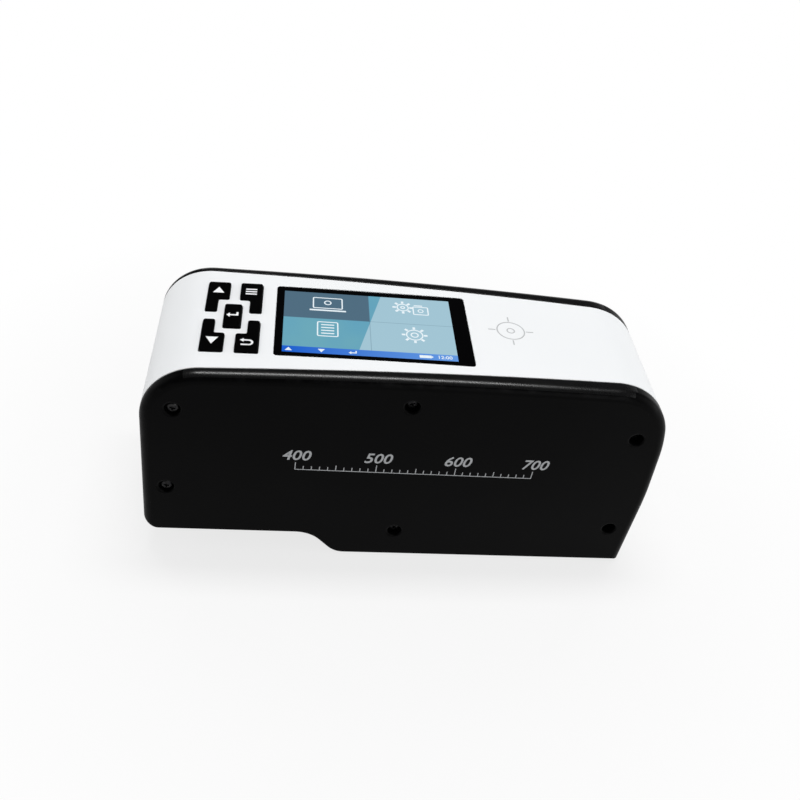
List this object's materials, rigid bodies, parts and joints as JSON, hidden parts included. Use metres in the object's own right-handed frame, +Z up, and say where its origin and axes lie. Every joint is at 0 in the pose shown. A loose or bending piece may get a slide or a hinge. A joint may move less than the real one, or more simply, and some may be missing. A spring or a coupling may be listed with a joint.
{
  "type": "portable reflectance colorimeter",
  "caption": "Long hand-held reflectance colorimeter: white band between two black side covers, display and L-shaped keys on top, measuring aperture in the base.",
  "frame": {"origin": "middle of the bounding box in X and Y, on the flat base plane", "axes": "+X towards the nose with the measuring aperture, +Y towards the left side cover, +Z up"},
  "size_m": [0.2049, 0.0736, 0.0954],
  "materials": {
    "cover_white": "satin moulded plastic",
    "cover_black": "satin soft-touch plastic",
    "key_black": "satin with white printed signs",
    "window_black": "polished pane with a black printed border",
    "screen": "lit liquid crystal panel",
    "inner_plastic": "moulded",
    "screw_steel": "black oxide",
    "board_green": "solder mask",
    "sphere_white": "diffuse white coating",
    "anodised_black": "black anodised",
    "lens_glass": "polished and coated",
    "grating_foil": "ruled mirror",
    "seal_rubber": "matte foam rubber",
    "battery_wrap": "shrink film",
    "socket_metal": "nickel plated"
  },
  "bodies": {
    "housing": {"top_cover": "cover_white", "base_cover": "cover_black", "right_side_cover": "cover_black", "left_side_cover": "cover_black", "right_screw_1": "screw_steel", "right_screw_2": "screw_steel", "right_screw_3": "screw_steel", "right_screw_4": "screw_steel", "right_screw_5": "screw_steel", "right_screw_6": "screw_steel", "left_screw_1": "screw_steel", "left_screw_2": "screw_steel", "left_screw_3": "screw_steel", "left_screw_4": "screw_steel", "left_screw_5": "screw_steel", "left_screw_6": "screw_steel", "display_window": "window_black", "lcd_panel": "screen", "lcd_tray": "inner_plastic", "up_switch": "inner_plastic", "menu_switch": "inner_plastic", "down_switch": "inner_plastic", "back_switch": "inner_plastic", "enter_switch": "inner_plastic", "keypad_board": "board_green", "main_board": "board_green", "board_screw_1": "screw_steel", "board_screw_2": "screw_steel", "board_screw_3": "screw_steel", "board_screw_4": "screw_steel", "sphere_upper": "sphere_white", "sphere_lower": "sphere_white", "lamp_board": "board_green", "lens_barrel": "anodised_black", "objective_lens": "lens_glass", "spectrometer_housing": "anodised_black", "spectrometer_cover": "anodised_black", "diffraction_grating": "grating_foil", "sensor_board": "board_green", "aperture_ring": "cover_black", "port_gasket": "seal_rubber", "base_screw_1": "screw_steel", "base_screw_2": "screw_steel", "base_screw_3": "screw_steel", "base_screw_4": "screw_steel", "battery_pack": "battery_wrap", "battery_door": "cover_black", "door_screw_1": "screw_steel", "door_screw_2": "screw_steel", "port_panel": "cover_black", "port_board": "board_green", "usb_port": "socket_metal", "dc_jack": "inner_plastic", "power_switch": "inner_plastic"},
    "up_key_body": {"up_key": "key_black"},
    "menu_key_body": {"menu_key": "key_black"},
    "down_key_body": {"down_key": "key_black"},
    "back_key_body": {"back_key": "key_black"},
    "enter_key_body": {"enter_key": "key_black"},
    "rocker_body": {"power_rocker": "cover_black"}
  },
  "joints": [
    {"name": "up_key_press", "type": "slide", "parent": "housing", "child": "up_key_body", "axis": [0.044, 0, -0.999], "range_m": [0, 0.001], "stiffness_N_per_m": 800},
    {"name": "menu_key_press", "type": "slide", "parent": "housing", "child": "menu_key_body", "axis": [0.044, 0, -0.999], "range_m": [0, 0.001], "stiffness_N_per_m": 800},
    {"name": "down_key_press", "type": "slide", "parent": "housing", "child": "down_key_body", "axis": [0.044, 0, -0.999], "range_m": [0, 0.001], "stiffness_N_per_m": 800},
    {"name": "back_key_press", "type": "slide", "parent": "housing", "child": "back_key_body", "axis": [0.044, 0, -0.999], "range_m": [0, 0.001], "stiffness_N_per_m": 800},
    {"name": "enter_key_press", "type": "slide", "parent": "housing", "child": "enter_key_body", "axis": [0.044, 0, -0.999], "range_m": [0, 0.001], "stiffness_N_per_m": 800},
    {"name": "power_rock", "type": "hinge", "parent": "housing", "child": "rocker_body", "pos_m": [-0.0985, 0, 0.0544], "axis": [0, 1, 0], "range_deg": [0, 14]}
  ]
}
